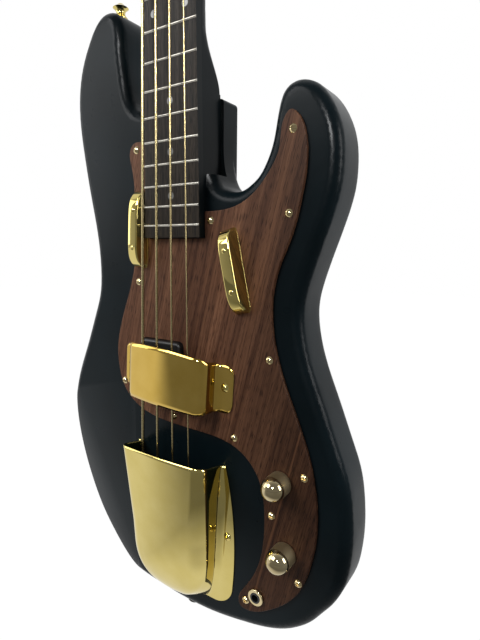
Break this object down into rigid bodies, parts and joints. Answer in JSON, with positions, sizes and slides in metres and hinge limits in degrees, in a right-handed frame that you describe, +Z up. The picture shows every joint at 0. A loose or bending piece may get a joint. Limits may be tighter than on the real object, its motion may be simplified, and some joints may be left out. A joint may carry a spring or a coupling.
{
  "type": "electric bass guitar",
  "caption": "Electric bass guitar: black offset body with two horns, bolt-on neck, walnut guard, gold pickup and bridge covers, turning tuners, knobs and movable saddles.",
  "frame": {"origin": "the end pin's seat on the butt of the body, midway through its thickness, under the strings' centre line", "axes": "+Z up the neck to the headstock, -Y out of the front face towards the player's audience, +X to the treble side"},
  "size_m": [0.3283, 0.0789, 1.1551],
  "materials": {
    "satin_black_paint": "satin black paint over wood",
    "black_neck_paint": "satin black paint over maple",
    "rosewood": "oiled rosewood",
    "walnut": "oiled walnut",
    "polished_gold": "mirror-polished gold plate",
    "fret_wire": "polished nickel silver",
    "wound_string": "round-wound, pale gold",
    "pearl": "grey pearl inlay",
    "bone": "black synthetic bone",
    "steel": "plain steel",
    "black_plastic": "black moulded plastic",
    "copper_wire": "enamelled copper wire",
    "capacitor_shell": "dipped capacitor",
    "wire_cover": "insulated wire"
  },
  "bodies": {
    "instrument": {"body": "satin_black_paint", "neck": "black_neck_paint", "fretboard": "rosewood", "frets": "fret_wire", "nut": "bone", "position_dots": "pearl", "truss_rod": "steel", "neck_plate": "polished_gold", "neck_screws": "polished_gold", "pickguard": "walnut", "pickguard_screws": "polished_gold", "thumb_rest": "polished_gold", "finger_rest": "polished_gold", "rest_screws": "polished_gold", "pickup_shells": "black_plastic", "pickup_bobbins": "black_plastic", "pickup_coils": "copper_wire", "pickup_poles": "steel", "pickup_screws": "steel", "pickup_cover": "polished_gold", "cover_screws": "polished_gold", "bridge_cover": "polished_gold", "bridge_plate": "polished_gold", "bridge_screws": "polished_gold", "saddle_springs": "steel", "control_nuts": "polished_gold", "pot_cases": "steel", "tone_capacitor": "capacitor_shell", "wiring": "wire_cover", "output_jack": "polished_gold", "strap_buttons": "polished_gold", "strap_button_screws": "polished_gold", "tuner_plates": "polished_gold", "tuner_bushings": "polished_gold", "tuner_screws": "polished_gold", "string_e": "wound_string", "string_a": "wound_string", "string_d": "wound_string", "string_g": "wound_string"},
    "volume_control": {"volume_knob": "polished_gold", "volume_shaft": "steel"},
    "tone_control": {"tone_knob": "polished_gold", "tone_shaft": "steel"},
    "tuner_key_e": {"tuner_key_e": "polished_gold"},
    "tuner_post_e": {"tuner_post_e": "polished_gold"},
    "tuner_key_a": {"tuner_key_a": "polished_gold"},
    "tuner_post_a": {"tuner_post_a": "polished_gold"},
    "tuner_key_d": {"tuner_key_d": "polished_gold"},
    "tuner_post_d": {"tuner_post_d": "polished_gold"},
    "tuner_key_g": {"tuner_key_g": "polished_gold"},
    "tuner_post_g": {"tuner_post_g": "polished_gold"},
    "intonation_screw_e": {"intonation_screw_e": "polished_gold"},
    "saddle_e": {"saddle_e": "polished_gold"},
    "intonation_screw_a": {"intonation_screw_a": "polished_gold"},
    "saddle_a": {"saddle_a": "polished_gold"},
    "intonation_screw_d": {"intonation_screw_d": "polished_gold"},
    "saddle_d": {"saddle_d": "polished_gold"},
    "intonation_screw_g": {"intonation_screw_g": "polished_gold"},
    "saddle_g": {"saddle_g": "polished_gold"}
  },
  "joints": [
    {"name": "volume_turn", "type": "hinge", "parent": "instrument", "child": "volume_control", "pos_m": [0.10922, -0.02523, 0.15763], "axis": [0, 1, 0], "range_deg": [-140, 140]},
    {"name": "tone_turn", "type": "hinge", "parent": "instrument", "child": "tone_control", "pos_m": [0.11496, -0.02523, 0.09774], "axis": [0, 1, 0], "range_deg": [-140, 140]},
    {"name": "tuner_key_e_turn", "type": "hinge", "parent": "instrument", "child": "tuner_key_e", "pos_m": [-0.022, 0.00085, 1.001], "axis": [1, 0, 0], "continuous": true},
    {"name": "tuner_post_e_turn", "type": "hinge", "parent": "instrument", "child": "tuner_post_e", "pos_m": [-0.022, -0.01225, 1.014], "axis": [0, 1, 0], "continuous": true},
    {"name": "tuner_key_a_turn", "type": "hinge", "parent": "instrument", "child": "tuner_key_a", "pos_m": [-0.022, 0.00085, 1.063], "axis": [1, 0, 0], "continuous": true},
    {"name": "tuner_post_a_turn", "type": "hinge", "parent": "instrument", "child": "tuner_post_a", "pos_m": [-0.022, -0.01225, 1.076], "axis": [0, 1, 0], "continuous": true},
    {"name": "tuner_key_d_turn", "type": "hinge", "parent": "instrument", "child": "tuner_key_d", "pos_m": [0.022, 0.00085, 1.063], "axis": [1, 0, 0], "continuous": true},
    {"name": "tuner_post_d_turn", "type": "hinge", "parent": "instrument", "child": "tuner_post_d", "pos_m": [0.022, -0.01225, 1.076], "axis": [0, 1, 0], "continuous": true},
    {"name": "tuner_key_g_turn", "type": "hinge", "parent": "instrument", "child": "tuner_key_g", "pos_m": [0.022, 0.00085, 1.001], "axis": [1, 0, 0], "continuous": true},
    {"name": "tuner_post_g_turn", "type": "hinge", "parent": "instrument", "child": "tuner_post_g", "pos_m": [0.022, -0.01225, 1.014], "axis": [0, 1, 0], "continuous": true},
    {"name": "intonation_screw_e_turn", "type": "hinge", "parent": "instrument", "child": "intonation_screw_e", "pos_m": [-0.02438, -0.0378, 0.07], "axis": [0, 0, 1], "range_deg": [-2200, 2200]},
    {"name": "saddle_e_slide", "type": "slide", "parent": "instrument", "child": "saddle_e", "axis": [0, 0, 1], "range_m": [-0.004, 0.004], "deforming": ["saddle_springs"]},
    {"name": "intonation_screw_a_turn", "type": "hinge", "parent": "instrument", "child": "intonation_screw_a", "pos_m": [-0.00532, -0.03805, 0.07], "axis": [0, 0, 1], "range_deg": [-2200, 2200]},
    {"name": "saddle_a_slide", "type": "slide", "parent": "instrument", "child": "saddle_a", "axis": [0, 0, 1], "range_m": [-0.004, 0.004], "deforming": ["saddle_springs"]},
    {"name": "intonation_screw_d_turn", "type": "hinge", "parent": "instrument", "child": "intonation_screw_d", "pos_m": [0.01372, -0.0383, 0.07], "axis": [0, 0, 1], "range_deg": [-2200, 2200]},
    {"name": "saddle_d_slide", "type": "slide", "parent": "instrument", "child": "saddle_d", "axis": [0, 0, 1], "range_m": [-0.004, 0.004], "deforming": ["saddle_springs"]},
    {"name": "intonation_screw_g_turn", "type": "hinge", "parent": "instrument", "child": "intonation_screw_g", "pos_m": [0.03277, -0.03856, 0.07], "axis": [0, 0, 1], "range_deg": [-2200, 2200]},
    {"name": "saddle_g_slide", "type": "slide", "parent": "instrument", "child": "saddle_g", "axis": [0, 0, 1], "range_m": [-0.004, 0.004], "deforming": ["saddle_springs"]}
  ],
  "couplings": [
    {"joint": "tuner_post_e_turn", "follows": "tuner_key_e_turn", "ratio": 0.05},
    {"joint": "tuner_post_a_turn", "follows": "tuner_key_a_turn", "ratio": 0.05},
    {"joint": "tuner_post_d_turn", "follows": "tuner_key_d_turn", "ratio": 0.05},
    {"joint": "tuner_post_g_turn", "follows": "tuner_key_g_turn", "ratio": 0.05},
    {"joint": "intonation_screw_e_turn", "follows": "saddle_e_slide", "rad_per_m": -8976},
    {"joint": "intonation_screw_a_turn", "follows": "saddle_a_slide", "rad_per_m": -8976},
    {"joint": "intonation_screw_d_turn", "follows": "saddle_d_slide", "rad_per_m": -8976},
    {"joint": "intonation_screw_g_turn", "follows": "saddle_g_slide", "rad_per_m": -8976}
  ]
}
